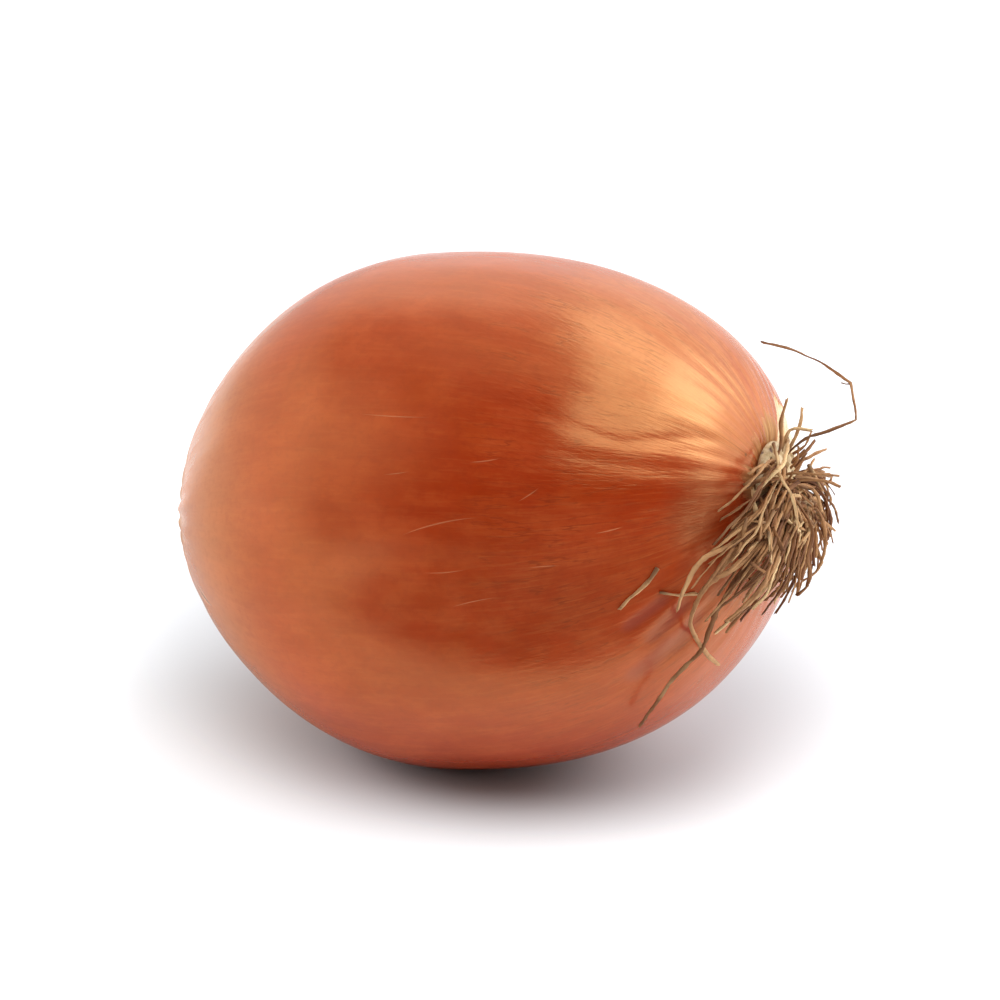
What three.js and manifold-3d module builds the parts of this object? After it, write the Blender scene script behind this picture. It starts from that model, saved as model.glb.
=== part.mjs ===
// A whole brown onion lying on its side, its dried neck cut short and its dry roots still on.
// Millimetres, +Z up. The origin is the middle of the small flat that the bulb rests on. The
// bulb's axis runs from the neck at -X to the root end at +X, which is lifted a little.

import * as THREE from 'three';
import { mergeVertices } from 'three/addons/utils/BufferGeometryUtils.js';
import Module from 'manifold-3d';

const rad = THREE.MathUtils.degToRad;

// The bulb. Its own frame has X along the axis towards the roots, Y to the back and Z up, with
// the widest ring at X = 0.
const WIDEST_RADIUS = 37.2;
const ROOT_HALF = 51.6; // from the widest ring to the root pole
const NECK_HALF = 45.0; // from the widest ring to where the shoulder would close
const ROOT_CURVE = { along: 2.23, across: 2.22 }; // exponents of the blunt root end
const NECK_CURVE = { along: 2.04, across: 1.32 }; // exponents of the sloping neck shoulder
const OVAL = 0.018; // how much the rings are wider one way than round
const OVAL_TURN = rad(-20); // the wide way, from straight up
const POLE_RISE = 2.5; // the root pole sits this far above the axis
const TILT = rad(11.5); // the root end is up
const MIDDLE = new THREE.Vector3(-0.5, 0, 36.3); // the widest ring's middle, from the origin
const AROUND = 54; // facets round the bulb
const SHOULDER_RINGS = 12;
const ROOT_RINGS = 12;

// Long soft ribs that run from end to end: how many round the bulb, and how high.
const RIBS = [
  { count: 3, height: 0.16, turn: 0.6 },
  { count: 5, height: 0.12, turn: 2.1 },
  { count: 8, height: 0.09, turn: 4.4 },
  { count: 13, height: 0.07, turn: 1.3 },
];
const RIB_DRIFT = 0.012; // how far the ribs turn round the bulb on their way, per mm

// The dried neck: flattened, pleated skin, cut off short and folded over onto the far shoulder.
const NECK_WIDTH = 9.4;
const NECK_THICKNESS = 4.8;
const NECK_ROOT = 38.0; // where it starts inside the shoulder, from the widest ring
const NECK_FOLD = 41.0; // where it starts to fold
const NECK_FOLD_RADIUS = 2.8;
const NECK_REACH = 14.5; // along its middle, from its start to the cut
const NECK_LEAN = rad(78);
const NECK_SIDE = rad(98); // which way it leans, from straight up
const NECK_TAPER = 0.16; // how much of its width it loses on the way
const NECK_PLEATS = 9;
const PLEAT_DEPTH = 0.1; // share of the radius
const NECK_RAGGED = 0.5; // how uneven the cut is
const NECK_CUT_TEETH = 3;
const NECK_CUT_POWER = 4; // keeps the unevenness near the cut
const NECK_RINGS = 9;
const NECK_AROUND = 36;
const SHOULDER_END = 5.0; // radius where the shoulder's skin turns into the neck
const SHOULDER_CAP = 0.4; // how far the shoulder's end bulges inside the neck

// The basal plate, a corky disc in a shallow hollow of the root end.
const PLATE_RADIUS = 6.4;
const PLATE_RISE = 1.5; // its middle above the skin round it
const PLATE_EDGE = 0.9;
const HOLLOW_RADIUS = 8.4;
const HOLLOW_DEPTH = 1.9;
const HOLLOW_RINGS = [1, 0.78, 0.55, 0.28]; // shares of its radius
const PLATE_RINGS = 3;
const PLATE_FACETS = 14;
const GAP = 0.35; // between the plate and the skin

// The roots: thin and dry. Long ones leave the lower side of the plate, are swept forward over
// the skin and droop at their ends. Broken stubs stand all over the plate.
const ROOT_KINDS = [
  {
    count: 44, shortest: 9, longest: 24, middle: 190, arc: 250,
    splay: 0.28, unruly: 0.9, pull: 0.55, curl: 0.6, layer: 5.5, cling: 0.16,
  },
  {
    count: 28, shortest: 3, longest: 7.5, middle: 180, arc: 360,
    splay: 0.28, unruly: 1.4, pull: 0.2, curl: 0.9, layer: 3, cling: 0.05,
  },
];
const ROOT_SPREAD = 0.95; // the share of the plate that roots grow on
const GOLDEN_SHARE = 0.618034;
const ROOT_SIDES = 4;
const ROOT_STEP = 3.0; // between two rings of a root
const ROOT_THICKNESS = { base: 0.8, tip: 0.6 };
const ROOT_CLEARANCE = 0.45; // between a root's side and the skin
const ROOT_SUNK = 1.0; // how deep a root starts in the plate
const SWEEP = new THREE.Vector3(-0.35, -0.75, -0.6); // where roots are pulled at first
const DROOP = new THREE.Vector3(-0.2, 0.15, -1); // where they are pulled at their tips
const SWEEP_VARIETY = 0.8;
const SWEEP_FAN = 0.6; // how much a root falls to the side that it grows on
const CURL_TURN = 1.1; // from step to step
const TURN_JITTER = 0.5; // round the plate, in radians
const ROOT_SEED = 20;

// Roots that stand out from the rest, from the plate to the tip: along the bulb's axis, up and
// to the back, in the bulb's own frame.
const LONG_ROOTS = [
  // the long one that arches up and back over the root end
  [[51, 5, 1.5], [54.8, 8, 3], [58.4, 8.8, 5], [61.3, 9.3, 8], [60.7, 10.9, 9.4],
    [59.9, 13.6, 11.1], [57.8, 15, 11.7], [54.7, 17.2, 11.7], [51.4, 19.3, 10.5], [48.9, 21, 8.3]],
  // stiff ones that stand up beside the skin
  [[51.4, 5.5, -1], [53.2, 8.6, -0.3], [53.2, 11.4, 0.8], [53.6, 14.2, 3.2]],
  [[51.8, 5, 2], [54.2, 9.4, 3.9], [54.4, 12, 5.9]],
  [[51.8, 6, 1], [53.4, 9.6, 3], [56, 9, 4.6]],
  // short ones that point straight out
  [[52, 4.5, -2.5], [55, 5, -1.6], [58.3, 4.2, -0.3], [60.1, 3.3, 1.6]],
  [[52, 3, -2.5], [55.4, 3.8, -1.6], [58.6, 3.4, -0.4], [60.4, 1.8, 1.3]],
  // one that droops in front and hooks back at its tip
  [[52, 1, -3], [56, 2.8, -5.4], [58.9, -1.5, -6.8], [57.4, -5.4, -6.6], [57.4, -8, -6.2],
    [56.5, -9.9, -6.1], [55.3, -10.8, -7.1]],
  // the longest, which runs down and forward along the skin
  [[51.2, 2.4, -2], [54.2, -0.5, -8], [51.3, -4, -12.6], [48, -8.8, -16.5], [46.2, -12, -17.2],
    [44.5, -15, -18], [41.2, -17.8, -20.3], [36.7, -22.6, -19.7], [33.2, -26.1, -18.2]],
  // curved ones that lie on the skin in front of the rest
  [[51, 2.5, -4], [53, 2, -10.5], [51.2, 0, -15], [48.3, -0.9, -20.3], [46, -4, -21.8],
    [44.3, -7.4, -22.1]],
  [[51.4, 1, -4], [54, -0.5, -9.5], [51.8, -3, -15], [48, -4.9, -19.2], [45, -9.9, -20.2],
    [44.6, -15.5, -16.6], [44.3, -18.8, -12.8]],
];

// A small repeatable random stream: each call gives the next number from 0 to 1.
function randomStream(seed) {
  let state = seed;
  return () => {
    state = (state * 1664525 + 1013904223) % 4294967296;
    return state / 4294967296;
  };
}

function randomVector(random) {
  return new THREE.Vector3(random() - 0.5, random() - 0.5, random() - 0.5);
}

// How far the middle of the ring at `along` lies above the axis.
function ringRise(along) {
  return along > 0 ? POLE_RISE * (along / ROOT_HALF) ** 3 : 0;
}

// The radius of the plain bulb at a distance along its axis, before ribs and oval.
function plainRadius(along) {
  const [half, curve] = along > 0 ? [ROOT_HALF, ROOT_CURVE] : [NECK_HALF, NECK_CURVE];
  const share = Math.min(Math.abs(along) / half, 1);
  return WIDEST_RADIUS * (1 - share ** curve.along) ** (1 / curve.across);
}

// The inverse: the share of the way to a pole where the bulb has this radius.
function shareAtRadius(radius, curve) {
  return (1 - (radius / WIDEST_RADIUS) ** curve.across) ** (1 / curve.along);
}

function alongAtRadius(radius) {
  return ROOT_HALF * shareAtRadius(radius, ROOT_CURVE);
}

// How deep the hollow for the basal plate is, at a distance from the root pole.
function hollowDepth(radius) {
  const share = Math.min(radius / HOLLOW_RADIUS, 1);
  return HOLLOW_DEPTH * (1 - share ** 2) ** 2;
}

// The bulb's radius is this many times the plain one: its oval section and its ribs.
function sectionShare(along, turn) {
  let share = 1 + OVAL * Math.cos(2 * (turn - OVAL_TURN));
  for (const rib of RIBS) {
    const wave = Math.cos(rib.count * turn + rib.turn + RIB_DRIFT * along);
    share += (rib.height / WIDEST_RADIUS) * wave;
  }
  return share;
}

// The bulb's section at `along`, a ring of points round its middle.
function bulbRing(along, radius, inset) {
  const points = [];
  for (let k = 0; k < AROUND; k += 1) {
    const turn = (2 * Math.PI * k) / AROUND;
    const reach = radius * sectionShare(along, turn);
    const height = ringRise(along) + reach * Math.cos(turn);
    points.push(new THREE.Vector3(along - inset, reach * Math.sin(turn), height));
  }
  return points;
}

// A closed skin over rings of points and a point at each end. Every ring has the same number of
// points and runs anticlockwise, seen from the last ring.
function skinOverRings(rings, first, last) {
  const count = rings[0].length;
  const vertices = [first, ...rings.flat(), last];
  const faces = [];
  for (let k = 0; k < count; k += 1) {
    const next = (k + 1) % count;
    faces.push(0, 1 + next, 1 + k);
    for (let i = 0; i < rings.length - 1; i += 1) {
      const here = 1 + i * count;
      const there = here + count;
      faces.push(here + k, here + next, there + next, here + k, there + next, there + k);
    }
    const end = 1 + (rings.length - 1) * count;
    faces.push(end + k, end + next, vertices.length - 1);
  }
  const geometry = new THREE.BufferGeometry().setFromPoints(vertices);
  geometry.setIndex(faces);
  return geometry;
}

function bulbGeometry() {
  const rings = [];
  const shoulder = Math.asin(shareAtRadius(SHOULDER_END, NECK_CURVE));
  for (let i = SHOULDER_RINGS; i > 0; i -= 1) {
    const along = -NECK_HALF * Math.sin(shoulder * (i / SHOULDER_RINGS));
    rings.push(bulbRing(along, plainRadius(along), 0));
  }
  const rim = Math.asin(shareAtRadius(HOLLOW_RADIUS, ROOT_CURVE));
  for (let i = 0; i < ROOT_RINGS; i += 1) {
    const along = ROOT_HALF * Math.sin(rim * (i / ROOT_RINGS));
    rings.push(bulbRing(along, plainRadius(along), 0));
  }
  for (const share of HOLLOW_RINGS) {
    const radius = HOLLOW_RADIUS * share;
    rings.push(bulbRing(alongAtRadius(radius), radius, hollowDepth(radius)));
  }
  const shoulderPole = new THREE.Vector3(-NECK_HALF * Math.sin(shoulder) - SHOULDER_CAP, 0, 0);
  const rootPole = new THREE.Vector3(ROOT_HALF - HOLLOW_DEPTH, 0, POLE_RISE);
  return skinOverRings(rings.reverse(), rootPole, shoulderPole);
}

// The neck's middle line: straight out of the shoulder, round the fold and straight on.
function neckLine(distance) {
  const side = new THREE.Vector3(0, Math.sin(NECK_SIDE), Math.cos(NECK_SIDE));
  const past = Math.max(distance - (NECK_FOLD - NECK_ROOT), 0);
  const lean = Math.min(past / NECK_FOLD_RADIUS, NECK_LEAN);
  const heading = new THREE.Vector3(-Math.cos(lean), 0, 0).addScaledVector(side, Math.sin(lean));
  const along = NECK_ROOT + distance - past + NECK_FOLD_RADIUS * Math.sin(lean);
  const middle = new THREE.Vector3(-along, 0, 0);
  middle.addScaledVector(side, NECK_FOLD_RADIUS * (1 - Math.cos(lean)));
  middle.addScaledVector(heading, past - NECK_FOLD_RADIUS * lean);
  return { middle, heading };
}

function neckGeometry() {
  const wide = new THREE.Vector3(0, Math.cos(NECK_SIDE), -Math.sin(NECK_SIDE));
  const rings = [];
  for (let i = 0; i <= NECK_RINGS; i += 1) {
    const share = i / NECK_RINGS;
    const { middle, heading } = neckLine(NECK_REACH * share);
    const thin = new THREE.Vector3().crossVectors(heading, wide);
    const points = [];
    for (let k = 0; k < NECK_AROUND; k += 1) {
      const turn = (2 * Math.PI * k) / NECK_AROUND;
      const pleat = 1 + PLEAT_DEPTH * Math.cos(NECK_PLEATS * turn);
      const reach = (pleat * (1 - NECK_TAPER * share)) / 2;
      const point = middle.clone().addScaledVector(wide, NECK_WIDTH * reach * Math.cos(turn));
      point.addScaledVector(thin, NECK_THICKNESS * reach * Math.sin(turn));
      const ragged = NECK_RAGGED * share ** NECK_CUT_POWER * Math.sin(NECK_CUT_TEETH * turn);
      point.addScaledVector(heading, ragged);
      points.push(point);
    }
    rings.push(points);
  }
  const cut = neckLine(NECK_REACH - 2 * NECK_RAGGED).middle;
  return skinOverRings(rings, neckLine(0).middle, cut);
}

// From the bulb's own frame to the resting one. What would reach below the floor is flattened.
function settle(geometry) {
  geometry.rotateY(-TILT);
  geometry.translate(MIDDLE.x, MIDDLE.y, MIDDLE.z);
  const places = geometry.getAttribute('position');
  for (let i = 0; i < places.count; i += 1) {
    places.setZ(i, Math.max(places.getZ(i), 0));
  }
  geometry.computeVertexNormals();
  return geometry;
}

// How far a point lies outside the plain bulb, and the shortest way out.
function offSkin(point) {
  const [half, curve] = point.x > 0 ? [ROOT_HALF, ROOT_CURVE] : [NECK_HALF, NECK_CURVE];
  const out = new THREE.Vector3(0, point.y, point.z - ringRise(point.x));
  const share = Math.abs(point.x) / half;
  const across = out.length() / (WIDEST_RADIUS * (1 + OVAL));
  const value = share ** curve.along + across ** curve.across - 1;
  out.setLength((curve.across * across ** (curve.across - 1)) / WIDEST_RADIUS);
  out.x = (Math.sign(point.x) * curve.along * share ** (curve.along - 1)) / half;
  const slope = out.length();
  return { gap: value / slope, out: out.divideScalar(slope) };
}

// The top of the basal plate: a low dome, given by distance and direction from its middle.
function platePoint(radius, turn) {
  const share = radius / PLATE_RADIUS;
  const rim = alongAtRadius(PLATE_RADIUS) - hollowDepth(PLATE_RADIUS) + GAP + PLATE_EDGE;
  const along = rim + (ROOT_HALF + PLATE_RISE - rim) * (1 - share ** 2);
  return new THREE.Vector3(along, radius * Math.sin(turn), POLE_RISE + radius * Math.cos(turn));
}

function plateGeometry() {
  const profile = [];
  for (let i = 0; i <= PLATE_RINGS; i += 1) {
    const radius = (PLATE_RADIUS * i) / PLATE_RINGS;
    profile.push(new THREE.Vector2(radius, alongAtRadius(radius) - hollowDepth(radius) + GAP));
  }
  for (let i = PLATE_RINGS; i >= 0; i -= 1) {
    const radius = (PLATE_RADIUS * i) / PLATE_RINGS;
    profile.push(new THREE.Vector2(radius, platePoint(radius, 0).x));
  }
  const plate = new THREE.LatheGeometry(profile, PLATE_FACETS);
  plate.rotateZ(-Math.PI / 2);
  plate.translate(0, 0, POLE_RISE);
  return plate;
}

// The points of one root. It leaves the plate outwards, falls along the sweep and rests on the
// skin or, nearer the plate, on the roots below it.
function growRoot(kind, index, random) {
  const start = PLATE_RADIUS * ROOT_SPREAD * Math.sqrt((index + 0.5) / kind.count);
  const placeInArc = ((index * GOLDEN_SHARE) % 1) - 0.5;
  const turn = rad(kind.middle + kind.arc * placeInArc) + TURN_JITTER * random();
  const outward = new THREE.Vector3(0, Math.sin(turn), Math.cos(turn));
  const heading = new THREE.Vector3(1, 0, 0).addScaledVector(outward, kind.splay * start);
  heading.addScaledVector(randomVector(random), kind.unruly).normalize();
  const fall = SWEEP.clone().addScaledVector(randomVector(random), SWEEP_VARIETY);
  fall.y += SWEEP_FAN * outward.y;
  const pull = kind.pull * (0.5 + random());
  const curl = randomVector(random).multiplyScalar(kind.curl);
  const curlStart = 2 * Math.PI * random();
  const layer = kind.layer * random();
  const length = kind.shortest + (kind.longest - kind.shortest) * random();
  const steps = Math.round(length / ROOT_STEP);
  const point = platePoint(start, turn).addScaledVector(heading, -ROOT_SUNK);
  const points = [point.clone()];
  for (let i = 0; i < steps; i += 1) {
    const share = i / steps;
    point.addScaledVector(heading, ROOT_STEP);
    const { gap, out } = offSkin(point);
    const need = ROOT_CLEARANCE + ROOT_THICKNESS.base / 2 + layer * (1 - share);
    point.addScaledVector(out, Math.max(need - gap, 0));
    heading.copy(point).sub(points[i]).normalize();
    heading.addScaledVector(fall, pull * (1 - share)).addScaledVector(DROOP, pull * share);
    heading.addScaledVector(out, -kind.cling * Math.max(gap - need, 0));
    heading.addScaledVector(curl, Math.cos(curlStart + CURL_TURN * i)).normalize();
    points.push(point.clone());
  }
  return points;
}

// A closed, tapering root through its points.
function rootGeometry(points) {
  const path = new THREE.CatmullRomCurve3(points);
  const last = points.length - 1;
  const { normals, binormals } = path.computeFrenetFrames(last, false);
  const rings = points.map((point, i) => {
    const width = THREE.MathUtils.lerp(ROOT_THICKNESS.base, ROOT_THICKNESS.tip, i / last);
    const around = [];
    for (let k = 0; k < ROOT_SIDES; k += 1) {
      const turn = (2 * Math.PI * k) / ROOT_SIDES;
      const spot = point.clone().addScaledVector(normals[i], (width / 2) * Math.cos(turn));
      around.push(spot.addScaledVector(binormals[i], (width / 2) * Math.sin(turn)));
    }
    return around;
  });
  return skinOverRings(rings, points[0], points[last]);
}

const wasm = await Module();
wasm.setup();
const SAME_POINT = 1e-4; // points closer than this are one

function toSolid(geometry) {
  const bare = geometry.clone();
  bare.deleteAttribute('normal');
  bare.deleteAttribute('uv');
  const merged = mergeVertices(bare, SAME_POINT);
  const mesh = new wasm.Mesh({
    numProp: 3,
    vertProperties: new Float32Array(merged.getAttribute('position').array),
    triVerts: new Uint32Array(merged.index.array),
  });
  return new wasm.Manifold(mesh);
}

function toGeometry(solid) {
  const mesh = solid.getMesh();
  const geometry = new THREE.BufferGeometry();
  geometry.setAttribute('position', new THREE.BufferAttribute(mesh.vertProperties, 3));
  geometry.setIndex(new THREE.BufferAttribute(mesh.triVerts, 1));
  return geometry;
}

// One body out of many: joined, with hollows that the join seals filled and scraps dropped.
function joined(geometries) {
  const whole = geometries.map(toSolid).reduce((sum, solid) => sum.add(solid));
  const pieces = whole.decompose().sort((a, b) => b.volume() - a.volume());
  return toGeometry(pieces[0]);
}

function tuftGeometry() {
  const random = randomStream(ROOT_SEED);
  const roots = LONG_ROOTS.map((spots) => {
    const places = spots.map(([along, up, back]) => new THREE.Vector3(along, back, up));
    const route = new THREE.CatmullRomCurve3(places);
    return route.getSpacedPoints(Math.round(route.getLength() / ROOT_STEP));
  });
  for (const kind of ROOT_KINDS) {
    for (let i = 0; i < kind.count; i += 1) {
      roots.push(growRoot(kind, i, random));
    }
  }
  return joined([plateGeometry(), ...roots.map(rootGeometry)]);
}

function namedMesh(name, geometry, material) {
  const mesh = new THREE.Mesh(settle(geometry), material);
  mesh.name = name;
  return mesh;
}

const skin = new THREE.MeshStandardMaterial({ color: 0xb0622f, roughness: 0.42, metalness: 0 });
const dryRoot = new THREE.MeshStandardMaterial({ color: 0xa98a55, roughness: 0.85, metalness: 0 });

const onion = new THREE.Group();
onion.name = 'onion';
onion.add(namedMesh('bulb', joined([bulbGeometry(), neckGeometry()]), skin));
onion.add(namedMesh('root_tuft', tuftGeometry(), dryRoot));

export default onion;
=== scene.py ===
"""A whole brown onion on its side: satin dry skin, a dried neck, a basal plate and dry roots."""

import math

import bpy
import numpy as np
from mathutils import Matrix, Vector


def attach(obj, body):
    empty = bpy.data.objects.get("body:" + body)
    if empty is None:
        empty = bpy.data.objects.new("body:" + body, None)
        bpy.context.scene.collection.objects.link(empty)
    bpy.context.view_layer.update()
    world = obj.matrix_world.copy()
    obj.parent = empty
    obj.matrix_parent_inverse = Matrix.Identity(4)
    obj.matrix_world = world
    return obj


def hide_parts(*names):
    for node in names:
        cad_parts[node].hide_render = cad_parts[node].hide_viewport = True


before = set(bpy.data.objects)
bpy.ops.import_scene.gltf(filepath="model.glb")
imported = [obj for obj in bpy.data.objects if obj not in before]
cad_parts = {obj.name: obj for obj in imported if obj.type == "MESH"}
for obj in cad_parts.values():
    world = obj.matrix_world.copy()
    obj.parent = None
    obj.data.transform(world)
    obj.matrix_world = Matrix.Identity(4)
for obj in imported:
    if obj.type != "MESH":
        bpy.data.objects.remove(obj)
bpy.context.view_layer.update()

MM = 0.001  # the scene is in metres and the sizes below are in millimetres
TURN = 2 * math.pi

# The bulb, as in the part's source. Its own frame has `along` on the axis towards the roots,
# `back` away from the camera's side and `up`, with the widest ring at along = 0.
WIDEST_RADIUS = 37.2
ROOT_HALF = 51.6
NECK_HALF = 45.0
ROOT_CURVE = (2.23, 2.22)  # exponents along and across
NECK_CURVE = (2.04, 1.32)
OVAL = 0.018
OVAL_TURN = math.radians(-20)
POLE_RISE = 2.5
TILT = math.radians(11.5)
MIDDLE = np.array((-0.5, 0.0, 36.3))
RIBS = ((3, 0.16, 0.6), (5, 0.12, 2.1), (8, 0.09, 4.4), (13, 0.07, 1.3))  # count, height, turn
RIB_DRIFT = 0.012
SHOULDER_END = 5.0
SHOULDER_POLE = 0.4  # by which the mesh's end point stands out past its last ring
HOLLOW_RADIUS = 8.4
HOLLOW_DEPTH = 1.9

# How finely the skin is meshed.
SKIN_AROUND = 320
SHOULDER_RINGS = 110
ROOT_RINGS = 130
HOLLOW_RINGS = 34

# Wrinkles of the dry skin: they deepen towards the neck and round the basal plate.
NECK_PLEATS = 34
NECK_PLEAT_DEPTH = 0.42
NECK_PLEAT_REACH = 15.0  # from the neck's end, along the axis
ROOT_WRINKLES = 46
ROOT_WRINKLE_DEPTH = 0.06
ROOT_WRINKLE_REACH = 8.0
CRUMPLE = 0.03
SLANT = 0.014  # radians per mm by which the second set of fibres winds round the bulb

# A painted highlight, a paler golden stretch on top near the roots where the key light's highlight
# falls, and a painted shadow of the roots below them: (along, degrees) of the middle, and the
# distances in metres over which each fades out.
HIGHLIGHT_SPOT = (43.0, -6.0)
HIGHLIGHT_SPOT_REACH = (0.010, 0.025)
ROOT_SHADOW_SPOT = (47.5, -80.0)
ROOT_SHADOW_REACH = (0.002, 0.0078)

# Soft creases pressed into the skin below the roots: (along, degrees) at both ends, width, depth.
CREASES = (
    ((45.0, -114), (38.5, -122), 1.6, 0.34),
    ((43.5, -108), (36.5, -112), 1.3, 0.26),
    ((45.5, -122), (40.0, -134), 1.5, 0.26),
    ((43.0, -126), (34.0, -131), 2.2, 0.22),
)
# Fine folds that run along the skin, in the same terms.
FOLDS = (
    ((29.0, -48), (40.5, -54), 0.8, 0.1),
    ((39.5, -54), (49.5, -46), 0.8, 0.1),
    ((30.0, -57), (46.0, -62), 0.9, 0.07),
    ((33.0, -20), (46.0, -24), 0.8, 0.06),
    ((24.0, -36), (38.0, -33), 0.8, 0.05),
)

# The outermost skin is torn off in a patch behind the plate, and the next one shows, cream.
TEAR_MIDDLE = math.radians(74)
TEAR_HALF_WIDTH = math.radians(41)
TEAR_REACH = 4.2  # from the plate's hollow along the axis
SKIN_THICKNESS = 0.26

# The dried neck: flattened, pleated and folded over onto the far shoulder.
NECK_WIDTH = 9.4
NECK_THICKNESS = 4.8
NECK_ROOT = 38.0
NECK_FOLD = 41.0
NECK_FOLD_RADIUS = 2.8
NECK_REACH = 14.5
NECK_LEAN = math.radians(78)
NECK_SIDE = math.radians(98)
NECK_TAPER = 0.16
NECK_RAGGED = 0.9
NECK_LAYERS = (1.0, 0.72, 0.44)  # rolled skins inside each other, as shares of the outer one
NECK_AROUND = 168
NECK_RINGS = 40
NECK_FOLDS = 19
NECK_FOLD_DEPTH = 0.13
NECK_WALL = 0.86  # the inner side of a skin, as a share of its outer side
NECK_SHORT = 1.2  # by which the outer skin is shorter than the solid's neck
NECK_STAGGER = 0.5  # by which each skin inside it is longer than the one round it
NECK_FIT = 0.97
NECK_FLARE = 0.1
NECK_GRAIN = 14  # how far the grain runs on, in mm
NECK_GRAIN_SHIFT = 7.0  # and how far it is shifted from skin to skin
NECK_AGE = (0.92, 0.08)  # at its start, and what is added towards its end

# The basal plate.
PLATE_RADIUS = 6.4
PLATE_RISE = 1.5
PLATE_EDGE = 0.9
GAP = 0.35
PLATE_AROUND = 120
PLATE_RINGS = 40

# The roots, as in the part's source. Lengths and layer are in mm, middle and arc in degrees.
ROOT_KINDS = (
    dict(count=44, shortest=9, longest=24, middle=190, arc=250, splay=0.28, unruly=0.9,
         pull=0.55, curl=0.6, layer=5.5, cling=0.16),
    dict(count=28, shortest=3, longest=7.5, middle=180, arc=360, splay=0.28, unruly=1.4,
         pull=0.2, curl=0.9, layer=3, cling=0.05),
)
# Finer roots that fill the tuft between those.
FINE_KINDS = (
    dict(count=130, shortest=7, longest=22, middle=190, arc=240, splay=0.24, unruly=0.9,
         pull=0.6, curl=0.3, layer=4.5, cling=0.2),
    dict(count=110, shortest=2, longest=6.5, middle=190, arc=290, splay=0.25, unruly=1.5,
         pull=0.25, curl=0.5, layer=2.2, cling=0.08),
)
ROOT_SPREAD = 0.95
GOLDEN_SHARE = 0.618034
ROOT_STEP = 3.0
ROOT_THICKNESS = (0.8, 0.6)  # at the base and at the tip
STRAND_THICKNESS = (0.7, 0.46)
FINE_THICKNESS = (0.5, 0.34)
REACH_KEPT = 54.0  # the routes are drawn in beyond this distance along the axis
REACH_SHARE = 0.3
HEM = (-11.5, 0.3)  # the roots end near this height, and the slope of that backwards
HEM_RAGGED = 2.0
BARE_TOP = math.radians(42)  # no roots start on this much of the plate, on each side of its top
ROOT_CLEARANCE = 0.45
ROOT_SUNK = 1.0
SWEEP = np.array((-0.35, -0.75, -0.6))
DROOP = np.array((-0.2, 0.15, -1.0))
SWEEP_VARIETY = 0.8
SWEEP_FAN = 0.6
CURL_TURN = 1.1
TURN_JITTER = 0.5
ROOT_SEED = 20
FINE_SEED = 77
ROOT_SIDES = 7
ROOT_RING_STEP = 0.7

# How strands vary.
STRAND_FLATNESS = (0.4, 0.9)  # the thickness, as a share of the width
STRAND_STRIPES = 0.2
STRAND_BUMPS = 0.13
STRAND_TWIST = 0.25  # radians from ring to ring
STRAND_TORN = (-0.3, 0.35)  # how far the tip's corners are off in mm
ROOT_TONES = (0.1, 0.9)  # from dark to pale
FINE_TONES = (0, 0.8)

# Seeds of that variation, for each piece.
LONG_LOOK, ROOT_LOOK, FINE_LOOK, FRAGMENT_LOOK, LITTER_LOOK = 3, 4, 5, 6, 7

# Short broken roots that lie across the upper side of the tuft, in every direction.
LITTER_COUNT = 300
LITTER_LENGTH = (2.2, 6.5)
LITTER_THICKNESS = (0.62, 0.5)
LITTER_MIDDLE = np.array((50.0, -0.5, -2.0))  # the middle of the tuft: along, back, up
LITTER_FACING = np.array((1.4, -0.9, 0.8))
LITTER_CONE = 0.975  # cosine of the cone in which the tuft's surface is looked for
LITTER_GAP = 1.3  # the most that an end stands off the roots
LITTER_DEPTH = 80  # per cent of the roots in that cone that lie below
LITTER_SEEN = 4  # the fewest points of roots in that cone
LITTER_OFF_SKIN = 1.6
LITTER_BEND = (-0.4, 0.5)
LITTER_TONES = (0.25, 1)

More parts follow.
